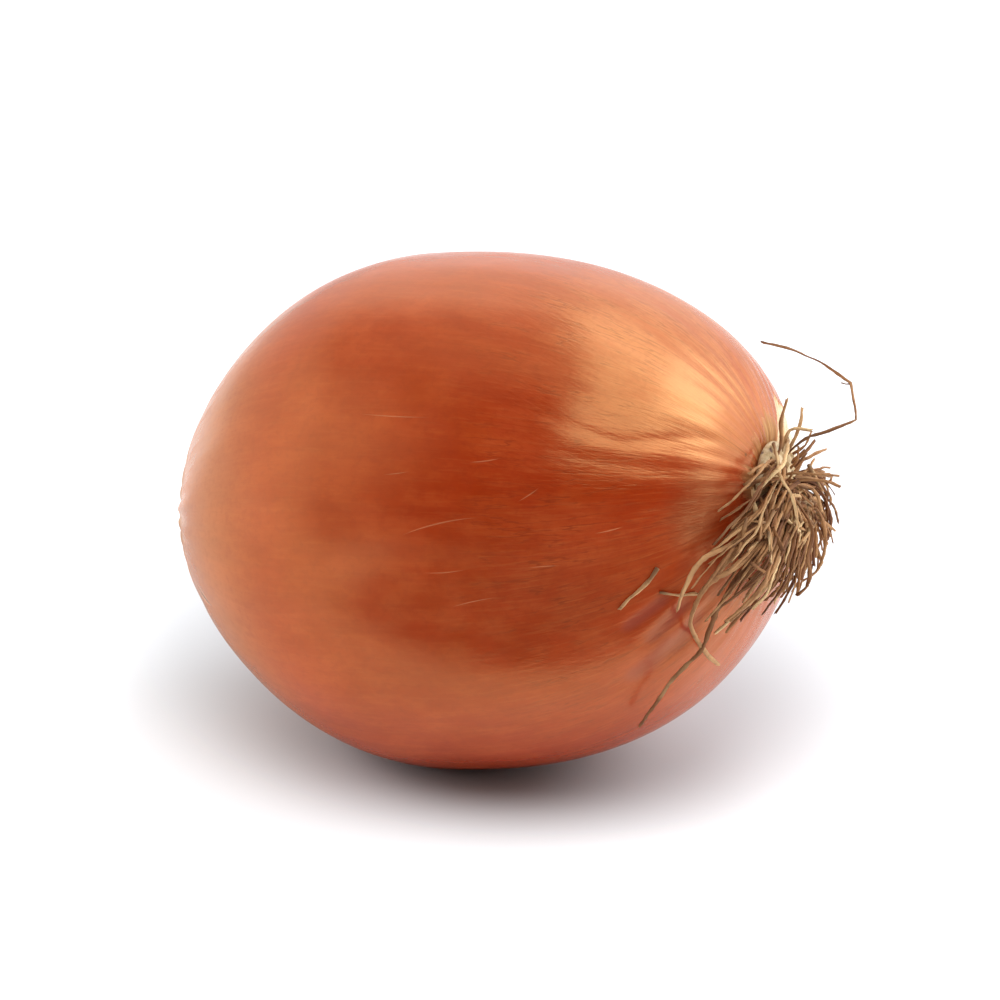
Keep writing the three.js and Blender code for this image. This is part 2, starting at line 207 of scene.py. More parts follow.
# Roots that stand out from the rest, most as in the part's source: (along, up, back).
LONG_ROOTS = (
    ((51, 5, 1.5), (54.8, 8, 3), (58.4, 8.8, 5), (61.0, 9.2, 7.7), (61.3, 9.3, 8),
     (61.2, 9.6, 8.3), (60.7, 10.9, 9.4), (60.0, 13.3, 10.9), (59.8, 13.7, 11.2),
     (59.3, 14.1, 11.3), (57.8, 15, 11.7), (54.7, 17.2, 11.7), (51.4, 19.3, 10.5),
     (48.9, 21, 8.3)),
    ((59.9, 13.6, 11.1), (59.2, 13.6, 11.1), (58.6, 13.8, 11.1)),
    ((51.4, 5.5, -1), (53.2, 8.6, -0.3), (53.2, 11.4, 0.8), (53.6, 14.2, 3.2)),
    ((51.8, 5, 2), (54.2, 9.4, 3.9), (54.4, 12, 5.9)),
    ((51.8, 6, 1), (53.4, 9.6, 3), (56, 9, 4.6)),
    ((52, 4.5, -2.5), (55, 5, -1.6), (58.3, 4.2, -0.3), (60.1, 3.3, 1.6)),
    ((52, 3, -2.5), (55.4, 3.8, -1.6), (58.6, 3.4, -0.4), (60.4, 1.8, 1.3)),
    ((52, 1, -3), (56, 2.8, -5.4), (58.9, -1.5, -6.8), (57.4, -5.4, -6.6), (57.4, -8, -6.2),
     (56.5, -9.9, -6.1), (55.3, -10.8, -7.1)),
    ((51.2, 2.4, -2), (54.2, -0.5, -8), (51.3, -4, -12.6), (48, -8.8, -16.5), (46.2, -12, -17.2),
     (44.5, -15, -18), (41.2, -17.8, -20.3), (36.7, -22.6, -19.7), (33.2, -26.1, -18.2)),
    ((51, 2.5, -4), (53, 2, -10.5), (51.2, 0, -15), (48.3, -0.9, -20.3), (46, -4, -21.8),
     (44.3, -7.4, -22.1)),
    ((51.4, 1, -4), (54, -0.5, -9.5), (51.8, -3, -15), (48, -4.9, -19.2), (45, -9.9, -20.2),
     (44.6, -15.5, -16.6), (44.3, -18.8, -12.8)),
    ((52.2, 8.2, 4), (54.6, 8.8, -1), (56.4, 8.3, -7), (56, 7.6, -10.4), (53, 5.2, -10.8)),
    ((52.3, 8.9, -0.6), (54.6, 8.9, -5), (56.6, 7, -9), (58, 4.6, -9.8), (57.8, 0, -8.6)),
)
LONG_TONES = (0.3, 0.25, 0.5, 0.8, 0.85, 0.6, 0.5, 0.25, 0.12, 0.55, 0.5, 1.0, 0.9)
LONG_THICKNESS = (0.52, 0.3, 0.72, 0.6, 0.6, 0.6, 0.6, 0.7, 0.78, 0.95, 0.9, 0.72, 0.6)

# Roots that broke off and lie on the skin: (along, degrees), from end to end.
FRAGMENTS = (
    ((42.8, -96), (41.9, -98.5), (40.3, -101), (39.3, -102), (37.9, -104)),
    ((42.4, -105), (43.9, -109.5), (45.5, -114.5)),
)
FRAGMENT_THICKNESS = 0.68

# Fine pale scratches: (along, degrees) at both ends, width and bend in mm.
SCRATCHES = (
    ((4.0, -49.5), (15.5, -50.5), 0.12, 0.25),
    ((21.0, -60.5), (25.5, -59.5), 0.12, 0.15),
    ((11.0, -76.5), (23.0, -73.0), 0.12, -0.55),
    ((14.0, -84.5), (20.5, -84.5), 0.12, 0.2),
    ((27.5, -70.0), (30.5, -66.5), 0.11, 0.1),
    ((28.0, -86.0), (32.5, -87.0), 0.11, -0.1),
    ((36.5, -80.0), (40.0, -79.5), 0.1, 0.1),
    ((9.0, -63.0), (13.0, -62.4), 0.08, 0.1),
    ((17.0, -93.0), (24.0, -92.0), 0.1, -0.2),
)
SLIT = ((-34.2, -98.0), (-27.8, -101.5), 0.42, 0.3)
SLIT_LIP = 2.4  # its pale lip's width, in widths of the slit
MARK_EDGE = 0.7  # the share of a mark's width over which it fades out
MARKED_SIDE = math.radians(-75)  # the turn of the half of the bulb that shows the marks

# The camera: seen from its azimuth and elevation, it looks past the onion's middle.
AZIMUTH = math.radians(26.8)
ELEVATION = math.radians(22.0)
CAMERA_DISTANCE = 0.58
LENS = 144.2
SENSOR = 36.0
SHIFT = (0.045, 0.011)
RIGHT = Vector((math.cos(AZIMUTH), math.sin(AZIMUTH), 0))
BACK = Vector((math.cos(ELEVATION) * math.sin(AZIMUTH),
               -math.cos(ELEVATION) * math.cos(AZIMUTH), math.sin(ELEVATION)))
FRONT = Vector((BACK.x, BACK.y, 0)).normalized()

# The floor is a pale table that also glows, except close to the onion: the patch round it that
# doesn't glow is a painted soft shadow.
FLOOR_SIZE = 6.0
GLOW_REACH = (0.0255, 0.062)  # metres from the middle of its shade
GLOW_SHIFT = 0.0092  # that middle, to the camera's right of the onion's flat
GLOW_LEAN = 0.1  # how much further right it goes on its way to the camera
GLOW_AHEAD = 0.5  # how much nearer it comes on the camera's side
GLOW_STRENGTH = 0.62

# Softboxes that hang level over the onion: name, middle (right, away, up) as the camera sees it,
# size, both in metres, and power in watts.
SOFTBOXES = (
    ("key", (0.95, 0.05, 0.9), (1.64, 1.07), 9.6),
    ("key_core", (1.34, -0.08, 0.88), (1.5, 0.95), 5.2),
    ("near", (0.50, -0.68, 0.9), (1.0, 0.45), 3.2),
)
# A fill light that is aimed at the onion from the left and isn't mirrored.
FILL = ((-1.05, 0.1, 0.5), (0.8, 0.8), 8.0)
# What stands round it: a direction (right, away, up) and two cosines over which it fades in.
ZENITH = (0, 0, 1)
WALLS = ((-0.37, 0.93, 0.0), (-0.5, 0.25))
WALL_HEIGHT = (0.5, 0.8)
BACK_PANEL = ((0.1, 0.85, 0.52), (0.8, 0.95))
RIGHT_PANEL = ((0.93, 0.2, 0.36), (0.78, 0.93))
CEILING = ((0.0, 0.2, 1.0), (0.75, 0.97))
WALL_BRIGHTNESS = 0.84
HIGH_WALL_BRIGHTNESS = 0.32
BACK_PANEL_BRIGHTNESS = 1.28
RIGHT_PANEL_BRIGHTNESS = 1.8
ROOM_BRIGHTNESS = 0.03
CEILING_BRIGHTNESS = 0.5

# A black flag in front, just over the floor, which only gloss mirrors. In metres from the flat.
FLAG_SIZE = 1.4
FLAG_SHIFT = 0.026  # its middle, to the camera's right
FLAG_START = (0.04, 0.068)  # how far in front it fades in
FLAG_SPREAD = 1.0  # how much it widens to each side on its way forward
FLAG_SIDE = 0.07  # over which its sides fade out
NEAR_FLAG = 0.42  # how dense it is nearer than that, and beside the onion
NEAR_FLAG_START = (-0.03, 0.0)
NEAR_FLAG_LEAN = 0.9  # how much further back it starts on the camera's left


# ---------------------------------------------------------------- shapes


def random_stream(seed):
    """The same small repeatable stream of numbers from 0 to 1 as the part's source uses."""
    state = seed
    while True:
        state = (state * 1664525 + 1013904223) % 4294967296
        yield state / 4294967296


def random_vector(random):
    return np.array([next(random) - 0.5 for _ in range(3)])


def unit(vector):
    return vector / np.linalg.norm(vector)


def smooth(value, low, high):
    """0 below `low`, 1 above `high` and a soft step between."""
    share = np.clip((value - low) / (high - low), 0, 1)
    return share * share * (3 - 2 * share)


def ring_rise(along):
    return POLE_RISE * np.clip(along / ROOT_HALF, 0, None) ** 3


def plain_radius(along):
    """The bulb's radius at a distance along its axis, before ribs and oval."""
    root = 1 - np.clip(along / ROOT_HALF, 0, 1) ** ROOT_CURVE[0]
    neck = 1 - np.clip(-along / NECK_HALF, 0, 1) ** NECK_CURVE[0]
    return WIDEST_RADIUS * np.where(along > 0, root ** (1 / ROOT_CURVE[1]),
                                    neck ** (1 / NECK_CURVE[1]))


def share_at_radius(radius, curve):
    return (1 - (radius / WIDEST_RADIUS) ** curve[1]) ** (1 / curve[0])


def along_at_radius(radius):
    return ROOT_HALF * share_at_radius(radius, ROOT_CURVE)


def hollow_depth(radius):
    share = np.minimum(radius / HOLLOW_RADIUS, 1)
    return HOLLOW_DEPTH * (1 - share ** 2) ** 2


def section_share(along, turn):
    share = 1 + OVAL * np.cos(2 * (turn - OVAL_TURN))
    for count, height, start in RIBS:
        share = share + height / WIDEST_RADIUS * np.cos(count * turn + start + RIB_DRIFT * along)
    return share


def off_skin(point):
    """How far a point (along, back, up) lies outside the plain bulb, and the shortest way out."""
    half, curve = (ROOT_HALF, ROOT_CURVE) if point[0] > 0 else (NECK_HALF, NECK_CURVE)
    out = np.array((0.0, point[1], point[2] - ring_rise(point[0])))
    share = abs(point[0]) / half
    across = np.linalg.norm(out) / (WIDEST_RADIUS * (1 + OVAL))
    value = share ** curve[0] + across ** curve[1] - 1
    out = unit(out) * (curve[1] * across ** (curve[1] - 1) / WIDEST_RADIUS)
    out[0] = math.copysign(curve[0] * share ** (curve[0] - 1) / half, point[0])
    slope = np.linalg.norm(out)
    return value / slope, out / slope


def to_world(points):
    """From the bulb's own frame (along, back, up) in mm to the resting one in metres."""
    points = np.asarray(points, float)
    along, back, up = points[..., 0], points[..., 1], points[..., 2]
    x = along * math.cos(TILT) - up * math.sin(TILT)
    z = along * math.sin(TILT) + up * math.cos(TILT)
    placed = np.stack((x, back, z), -1) + MIDDLE
    placed[..., 2] = np.maximum(placed[..., 2], 0)
    return placed * MM


def skin_point(along, degrees, lift=0.0):
    """A point on the plain bulb, in the bulb's frame."""
    turn = math.radians(degrees)
    radius = float(plain_radius(np.array(along))) * float(section_share(along, turn)) + lift
    rise = float(ring_rise(np.array(along)))
    return np.array((along, radius * math.sin(turn), rise + radius * math.cos(turn)))


def ring_noise(turn, along, around, step, seed):
    """Smooth noise from -1 to 1, with `around` cells round the bulb and `step` mm cells along."""
    table = np.random.default_rng(seed).uniform(-1, 1, (around, 256))
    x = np.mod(turn / TURN, 1) * around
    y = along / step + 100
    column, row = np.floor(x).astype(int), np.floor(y).astype(int)
    fx, fy = x - column, y - row
    fx, fy = fx * fx * (3 - 2 * fx), fy * fy * (3 - 2 * fy)
    left, right = column % around, (column + 1) % around
    low, high = row % 256, (row + 1) % 256
    near = table[left, low] * (1 - fx) + table[right, low] * fx
    far = table[left, high] * (1 - fx) + table[right, high] * fx
    return near * (1 - fy) + far * fy


def piece(name, vertices, faces, material, cad_node, attributes=()):
    """A closed or open mesh in the resting frame that rides with the onion."""
    mesh = bpy.data.meshes.new(name)
    mesh.from_pydata([tuple(v) for v in vertices], [], faces)
    for label, values in dict(attributes).items():
        values = np.asarray(values, np.float32)
        if values.ndim == 2:
            mesh.attributes.new(label, "FLOAT_VECTOR", "POINT").data.foreach_set(
                "vector", values.ravel())
        else:
            mesh.attributes.new(label, "FLOAT", "POINT").data.foreach_set("value", values)
    mesh.polygons.foreach_set("use_smooth", [True] * len(mesh.polygons))
    mesh.materials.append(material)
    mesh.update()
    made = bpy.data.objects.new(name, mesh)
    bpy.context.scene.collection.objects.link(made)
    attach(made, "root")
    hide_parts(cad_node)


def tube_faces(base, rings, around):
    """Faces of a tube that is open at both ends; its rings start at vertex `base`."""
    faces = []
    for i in range(rings - 1):
        here, there = base + i * around, base + (i + 1) * around
        for k in range(around):
            after = (k + 1) % around
            faces.append((here + k, here + after, there + after, there + k))
    return faces


def ring_faces(rings, around, last):
    """Faces over rings that start at vertex 1 and run the other way round than a tube's; the end
    points are vertex 0 and vertex `last`."""
    faces = []
    for k in range(around):
        after = (k + 1) % around
        faces.append((0, 1 + k, 1 + after))
        for i in range(rings - 1):
            here, there = 1 + i * around, 1 + (i + 1) * around
            faces.append((here + k, there + k, there + after, here + after))
        end = 1 + (rings - 1) * around
        faces.append((end + k, last, end + after))
    return faces


# ---------------------------------------------------------------- bulb


def groove(along, turn, radius, start, end, width):
    """1 in the middle of a soft groove between two skin points, falling to 0 at its sides."""
    a = np.array((start[0], math.radians(start[1])))
    b = np.array((end[0], math.radians(end[1])))
    arc = radius * (turn - a[1])
    middle = float(plain_radius(np.array((a[0] + b[0]) / 2)))
    span = np.array((b[0] - a[0], middle * (b[1] - a[1])))
    share = ((along - a[0]) * span[0] + arc * span[1]) / (span @ span)
    inside = smooth(share, -0.15, 0.25) * (1 - smooth(share, 0.7, 1.15))
    reach = np.hypot(along - a[0] - share * span[0], arc - share * span[1])
    return inside * np.exp(-((reach / width) ** 2))


def tear_field(along, turn):
    """Above 0 where the outermost skin is gone: a ragged patch behind the plate."""
    apart = np.abs(np.mod(turn - TEAR_MIDDLE + math.pi, TURN) - math.pi) / TEAR_HALF_WIDTH
    rim = along_at_radius(HOLLOW_RADIUS)
    reach = TEAR_REACH * (1 - apart ** 2)
    reach = reach + 0.9 * ring_noise(turn, along * 0, 40, 10, 5) + 0.4 * ring_noise(
        turn, along * 0, 110, 10, 6)
    return along - (rim - reach)


def onion_skin(material):
    neck = math.asin(share_at_radius(SHOULDER_END, NECK_CURVE))
    rim = math.asin(share_at_radius(HOLLOW_RADIUS, ROOT_CURVE))
    shoulder = -NECK_HALF * np.sin(neck * np.linspace(1, 0, SHOULDER_RINGS, endpoint=False))
    front = ROOT_HALF * np.sin(rim * np.linspace(0, 1, ROOT_RINGS, endpoint=False))
    hollow = HOLLOW_RADIUS * np.linspace(1, 0.02, HOLLOW_RINGS)
    along = np.concatenate((shoulder, front, along_at_radius(hollow)))
    radius = np.concatenate((plain_radius(shoulder), plain_radius(front), hollow))
    inset = np.concatenate((shoulder * 0, front * 0, hollow_depth(hollow)))
    turn = np.linspace(0, TURN, SKIN_AROUND, endpoint=False)
    along, turn = np.meshgrid(along, turn, indexing="ij")
    radius, inset = radius[:, None] + 0 * turn, inset[:, None] + 0 * turn

    # fine relief, in mm outwards
    from_neck = along + NECK_HALF * math.sin(neck)
    near_neck = np.clip(1 - from_neck / NECK_PLEAT_REACH, 0, 1) ** 1.6
    near_root = smooth(along, ROOT_HALF - ROOT_WRINKLE_REACH - 4, ROOT_HALF - 1.5)
    wander = turn + 0.02 * ring_noise(turn, along, 7, 18, 1)
    pleats = np.cos(NECK_PLEATS * wander + 2.2 * ring_noise(turn, along, 7, 16, 2))
    pleats = 0.6 * pleats + 0.7 * ring_noise(wander, along, 60, 14, 3)
    wrinkles = 0.5 * np.cos(ROOT_WRINKLES * wander + 3 * ring_noise(turn, along, 11, 20, 4))
    wrinkles = wrinkles + 0.8 * ring_noise(wander, along, 90, 12, 7)
    relief = NECK_PLEAT_DEPTH * near_neck * pleats
    relief = relief + ROOT_WRINKLE_DEPTH * near_root * wrinkles
    relief = relief + CRUMPLE * ring_noise(wander, along, 70, 22, 8)
    relief = relief + 1.6 * CRUMPLE * ring_noise(turn, along, 24, 15, 9)
    crease = 0 * along
    signed = np.mod(turn + math.pi, TURN) - math.pi
    for start, end, width, depth in CREASES:
        dent = groove(along, signed, radius, start, end, width)
        relief = relief - depth * dent
        crease = np.maximum(crease, dent)
    for start, end, width, depth in FOLDS:
        relief = relief - depth * groove(along, signed, radius, start, end, width)
    tear = tear_field(along, turn)
    relief = relief - SKIN_THICKNESS * smooth(tear, -0.05, 0.2)

    # the outward direction of the plain bulb, for the relief
    half = np.where(along > 0, ROOT_HALF, NECK_HALF)
    power = np.where(along > 0, ROOT_CURVE[0], NECK_CURVE[0])
    cross = np.where(along > 0, ROOT_CURVE[1], NECK_CURVE[1])
    lengthwise = np.sign(along) * power * (np.abs(along) / half) ** (power - 1) / half
    sideways = cross * (radius / WIDEST_RADIUS) ** (cross - 1) / WIDEST_RADIUS
    steep = np.hypot(lengthwise, sideways)
    reach = radius * section_share(along, turn) + relief * sideways / steep
    height = ring_rise(along) + reach * np.cos(turn)
    place = np.stack((along - inset + relief * lengthwise / steep, reach * np.sin(turn), height), -1)

    ends = [(-NECK_HALF * math.sin(neck) - SHOULDER_POLE, 0, 0),
            (ROOT_HALF - HOLLOW_DEPTH, 0, POLE_RISE)]
    points = np.concatenate(([ends[0]], place.reshape(-1, 3), [ends[1]]))
    faces = ring_faces(len(along), SKIN_AROUND, len(points) - 1)

    # what the material reads: the grain's frame, age, tear and crease
    def spread(values, first, last):
        return np.concatenate(([first], np.asarray(values).ravel(), [last]))

    grain_turn = wander + 0.0016 * along
    grain = np.stack((spread(np.cos(grain_turn), 1, 1), spread(np.sin(grain_turn), 0, 0),
                      spread(along, ends[0][0], ends[1][0])), -1)
    ragged = 2.0 * ring_noise(turn, along, 46, 9, 12) + 1.2 * ring_noise(turn, along, 120, 9, 13)
    age = np.maximum(smooth(-from_neck + 0.9 * ragged, -13.0, 0.5),
                     smooth(along + 0.3 * ragged, ROOT_HALF - 1.7, ROOT_HALF - 0.2))
    slant = wander + SLANT * along
    weave = np.stack((spread(np.cos(slant), 1, 1), spread(np.sin(slant), 0, 0), grain[:, 2]), -1)
    piece("onion_skin", to_world(points), faces, material, "bulb", {
        "grain": grain, "weave": weave, "age": spread(age, 1, 1), "tear": spread(tear, -9, 9),
        "crease": spread(crease, 0, 0)})


def neck_line(distance):
    side = np.array((0.0, math.sin(NECK_SIDE), math.cos(NECK_SIDE)))
    past = max(distance - (NECK_FOLD - NECK_ROOT), 0.0)
    lean = min(past / NECK_FOLD_RADIUS, NECK_LEAN)
    heading = np.array((-math.cos(lean), 0.0, 0.0)) + side * math.sin(lean)
    along = NECK_ROOT + distance - past + NECK_FOLD_RADIUS * math.sin(lean)
    middle = np.array((-along, 0.0, 0.0)) + side * NECK_FOLD_RADIUS * (1 - math.cos(lean))
    return middle + heading * (past - NECK_FOLD_RADIUS * lean), heading


def dried_neck(material):
    """Skins rolled inside each other, each a pleated tube with a ragged end that is open."""
    wide = np.array((0.0, math.cos(NECK_SIDE), -math.sin(NECK_SIDE)))
    vertices, faces, grain, age = [], [], [], []
    around = np.linspace(0, TURN, NECK_AROUND, endpoint=False)
    for number, layer in enumerate(NECK_LAYERS):
        pleats = ring_noise(around, 0 * around, NECK_FOLDS * 2, 9, 30 + number)
        folds = np.cos(NECK_FOLDS * around + 2.5 * ring_noise(around, 0 * around, 7, 9, 40 + number))
        ragged = ring_noise(around, 0 * around, 17, 9, 50 + number)
        ragged = ragged + 0.6 * ring_noise(around, 0 * around, 52, 9, 60 + number)
        base = len(vertices)
        rings = [(i / NECK_RINGS, 1.0) for i in range(NECK_RINGS + 1)]
        rings += [((NECK_RINGS - i) / NECK_RINGS, NECK_WALL) for i in range(NECK_RINGS // 2)]
        for share, wall in rings:
            middle, heading = neck_line((NECK_REACH - NECK_SHORT + NECK_STAGGER * number) * share)
            thin = np.cross(heading, wide)
            shape = 1 + NECK_FOLD_DEPTH * (0.65 * folds + 0.6 * pleats) * smooth(share, -0.1, 0.4)
            reach = layer * wall * shape * (1 - NECK_TAPER * share) / 2 * NECK_FIT
            flare = 1 + NECK_FLARE * smooth(share, 0.75, 1.0)
            point = middle + (NECK_WIDTH * reach * flare * np.cos(around))[:, None] * wide
            point = point + (NECK_THICKNESS * reach * flare * np.sin(around))[:, None] * thin
            point = point + (share ** 4 * NECK_RAGGED * ragged)[:, None] * heading
            vertices.extend(point)
            swirl = around + 0.25 * share
            station = -NECK_ROOT - NECK_GRAIN * share + 0 * around
            grain.extend(np.stack((np.cos(swirl), np.sin(swirl), station), -1)
                         + (0, 0, NECK_GRAIN_SHIFT * number))
            age.extend(NECK_AGE[0] + NECK_AGE[1] * share + 0 * around)
        faces += tube_faces(base, len(rings), NECK_AROUND)
    zero = np.zeros(len(vertices))
    piece("dried_neck", to_world(np.array(vertices)), faces, material, "bulb", {
        "grain": grain, "weave": grain, "age": age, "tear": zero - 9, "crease": zero})


# ---------------------------------------------------------------- roots


def plate_point(radius, turn):
    share = radius / PLATE_RADIUS
    rim = along_at_radius(PLATE_RADIUS) - hollow_depth(PLATE_RADIUS) + GAP + PLATE_EDGE
    along = rim + (ROOT_HALF + PLATE_RISE - rim) * (1 - share ** 2)
    return np.array((along, radius * math.sin(turn), POLE_RISE + radius * math.cos(turn)))


def basal_plate(material):
    """A corky dome with old root scars, closed underneath."""
    turn = np.linspace(0, TURN, PLATE_AROUND, endpoint=False)
    rows = []
    for i in range(PLATE_RINGS, 0, -1):
        radius = PLATE_RADIUS * i / PLATE_RINGS
        knobs = ring_noise(turn, 0 * turn + radius, 26, 1.1, 71)
        knobs = 0.34 * knobs + 0.18 * ring_noise(turn, 0 * turn + radius, 60, 0.6, 72)
        rough = 1 + 0.05 * ring_noise(turn, 0 * turn + radius, 19, 2, 73)
        top = np.array([plate_point(radius, t) for t in turn])
        top[:, 0] += knobs
        top[:, 1:] = (top[:, 1:] - (0, POLE_RISE)) * rough[:, None] + (0, POLE_RISE)
        rows.append(top)
    under = []
    for share in (0.35, 0.7, 1.0):
        radius = PLATE_RADIUS * share
        flat = np.stack((0 * turn + along_at_radius(radius) - hollow_depth(radius) + GAP,
                         radius * np.sin(turn), POLE_RISE + radius * np.cos(turn)), -1)
        under.append(flat)
    bottom = (ROOT_HALF - HOLLOW_DEPTH + GAP, 0, POLE_RISE)
    points = np.concatenate(([bottom], *under, *rows, [(ROOT_HALF + PLATE_RISE, 0, POLE_RISE)]))
    faces = ring_faces(len(under) + len(rows), PLATE_AROUND, len(points) - 1)
    piece("basal_plate", to_world(points), faces, material, "root_tuft")


def grow_root(kind, index, random):
    """The route of one root, by the same rule and random stream as in the part's source."""
    start = PLATE_RADIUS * ROOT_SPREAD * math.sqrt((index + 0.5) / kind["count"])
    place_in_arc = (index * GOLDEN_SHARE) % 1 - 0.5
    turn = math.radians(kind["middle"] + kind["arc"] * place_in_arc) + TURN_JITTER * next(random)
    outward = np.array((0.0, math.sin(turn), math.cos(turn)))
    heading = np.array((1.0, 0.0, 0.0)) + outward * kind["splay"] * start
    heading = unit(heading + random_vector(random) * kind["unruly"])
    fall = SWEEP + random_vector(random) * SWEEP_VARIETY
    fall[1] += SWEEP_FAN * outward[1]
    pull = kind["pull"] * (0.5 + next(random))
    curl = random_vector(random) * kind["curl"]
    curl_start = TURN * next(random)
    layer = kind["layer"] * next(random)
    length = kind["shortest"] + (kind["longest"] - kind["shortest"]) * next(random)
    steps = math.floor(length / ROOT_STEP + 0.5)
    point = plate_point(start, turn) - heading * ROOT_SUNK
    points = [point]
    for i in range(steps):
        share = i / steps
        point = point + heading * ROOT_STEP
        gap, out = off_skin(point)
        need = ROOT_CLEARANCE + ROOT_THICKNESS[0] / 2 + layer * (1 - share)
        point = point + out * max(need - gap, 0)
        heading = unit(point - points[-1])
        heading = heading + fall * pull * (1 - share) + DROOP * pull * share
        heading = heading - out * kind["cling"] * max(gap - need, 0)
        heading = unit(heading + curl * math.cos(curl_start + CURL_TURN * i))
        points.append(point)
    return np.array(points)


def combed(route):
    """The route with its curls eased, and what reaches far out along the axis pulled back."""
    route = route.copy()
    for _ in range(2):
        route[1:-1] = (route[:-2] + 2 * route[1:-1] + route[2:]) / 4
    route[:, 0] -= np.maximum(route[:, 0] - REACH_KEPT, 0) * (1 - REACH_SHARE)
    return route


def rounded(points, step):
    """Points along a smooth curve through the given ones, about `step` apart."""
    ends = np.concatenate(([2 * points[0] - points[1]], points, [2 * points[-1] - points[-2]]))
    made = []
    for before, a, b, after in zip(ends, ends[1:], ends[2:], ends[3:]):
        count = max(1, round(float(np.linalg.norm(b - a)) / step))
        for i in range(count):
            t = i / count
            square, cube = 2 * before - 5 * a + 4 * b - after, 3 * a - before - 3 * b + after
            made.append(0.5 * (2 * a + (b - before) * t + square * t ** 2 + cube * t ** 3))
    made.append(points[-1])
    return np.array(made)


class Strands:
    """Many tapering roots in one mesh."""

    def __init__(self, seed):
        self.random = np.random.default_rng(seed)
        self.vertices, self.faces = [], []
        self.tone, self.reach = [], []

    def add(self, route, thickness, tone, kink=0.08):
        path = rounded(np.asarray(route, float), ROOT_RING_STEP)
        count = len(path)
        shares = np.linspace(0, 1, count)
        wobble = self.random.normal(0, kink, (count, 3)) * smooth(shares, 0, 0.2)[:, None]
        wobble = (wobble + np.roll(wobble, 1, 0) + np.roll(wobble, -1, 0)) / 2.2
        wobble[-1] = wobble[-2]
        path = path + wobble
        heading = unit(path[1] - path[0])
        side = unit(np.cross(heading, self.random.normal(0, 1, 3)))
        flat = self.random.uniform(*STRAND_FLATNESS)
        stripes = tone + self.random.uniform(-STRAND_STRIPES, STRAND_STRIPES, ROOT_SIDES)
        bumps = 1 + self.random.normal(0, STRAND_BUMPS, count)
        base = len(self.vertices)
        angles = np.linspace(0, TURN, ROOT_SIDES, endpoint=False)
        twist = self.random.uniform(-STRAND_TWIST, STRAND_TWIST)
        for i, point in enumerate(path):
            ahead = unit(path[min(i + 1, count - 1)] - path[max(i - 1, 0)])
            side = unit(side - ahead * (side @ ahead))
            other = np.cross(ahead, side)
            side = unit(side * math.cos(twist) + other * math.sin(twist))
            other = np.cross(ahead, side)
            width = thickness[0] + (thickness[1] - thickness[0]) * shares[i]
            width = width * bumps[i] / 2
            ring = point + width * (np.cos(angles)[:, None] * side
                                    + flat * np.sin(angles)[:, None] * other)
            if i == count - 1:
                ring = ring + self.random.uniform(*STRAND_TORN, (ROOT_SIDES, 1)) * ahead
            self.vertices.extend(ring)
            self.tone.extend(stripes)
            self.reach.extend([shares[i]] * ROOT_SIDES)
        self.faces += tube_faces(base, count, ROOT_SIDES)
        self.faces.append(tuple(base + k for k in reversed(range(ROOT_SIDES))))
        self.faces.append(tuple(base + (count - 1) * ROOT_SIDES + k for k in range(ROOT_SIDES)))

    def make(self, name, material):
        piece(name, to_world(np.array(self.vertices)), self.faces, material, "root_tuft",
              {"tone": self.tone, "reach": self.reach})


def long_roots(material):
    strands = Strands(LONG_LOOK)
    for spots, tone, thickness in zip(LONG_ROOTS, LONG_TONES, LONG_THICKNESS):
        route = [(along, back, up) for along, up, back in spots]
        strands.add(route, (thickness, 0.75 * thickness), tone, 0.05)
    strands.make("long_roots", material)


def grown(kinds, seed):
    """The combed routes of all roots of these kinds, cut off at the hem, but without those that
    start on the plate's top."""
    random = random_stream(seed)
    ragged = np.random.default_rng(seed)
    for kind in kinds:
        for i in range(kind["count"]):
            route = grow_root(kind, i, random)
            hem = HEM[0] + HEM[1] * route[:, 1] + ragged.uniform(-1, 1) * HEM_RAGGED
            kept = max(3, int(np.argmax(np.append(route[:, 2] < hem, True))))
            if abs(math.atan2(route[0][1], route[0][2] - POLE_RISE)) > BARE_TOP:
                yield combed(route[:kept])


def ruled_roots(name, kinds, seed, look, thickness, tones, material):
    """One piece with all roots of these kinds, each in a shade of its own."""
    strands = Strands(look)
    for route in grown(kinds, seed):
        strands.add(route, thickness, strands.random.uniform(*tones))
    strands.make(name, material)


def root_litter(material):
    strands = Strands(LITTER_LOOK)
    reach = np.concatenate([rounded(route, 1.0) for route in grown(ROOT_KINDS, ROOT_SEED)])
    reach = reach - LITTER_MIDDLE
    size = np.linalg.norm(reach, axis=1)
    for _ in range(LITTER_COUNT):
        way = unit(strands.random.normal(0, 1, 3) + LITTER_FACING)
        across = unit(np.cross(way, strands.random.normal(0, 1, 3)))
        half = strands.random.uniform(*LITTER_LENGTH) / 2
        bend = strands.random.uniform(*LITTER_BEND)
        tone = strands.random.uniform(*LITTER_TONES)
        near = reach @ way > LITTER_CONE * size
        if near.sum() < LITTER_SEEN:
            continue
        top = LITTER_MIDDLE + way * np.percentile(size[near], LITTER_DEPTH)
        route = (top - across * half, top + way * bend, top + across * half)
        held = [np.linalg.norm(reach + LITTER_MIDDLE - point, axis=1).min() for point in route]
        if max(held) > LITTER_GAP or off_skin(top)[0] < LITTER_OFF_SKIN:
            continue
        strands.add(route, LITTER_THICKNESS, tone, 0.04)
    strands.make("root_litter", material)


def root_fragments(material):
    strands = Strands(FRAGMENT_LOOK)
    lift = FRAGMENT_THICKNESS / 2 + 0.05
    for spots in FRAGMENTS:
        route = [skin_point(along, degrees, lift) for along, degrees in spots]
        strands.add(route, (FRAGMENT_THICKNESS, 0.5), 0.75, 0.05)
    strands.make("root_fragments", material)


# ---------------------------------------------------------------- materials


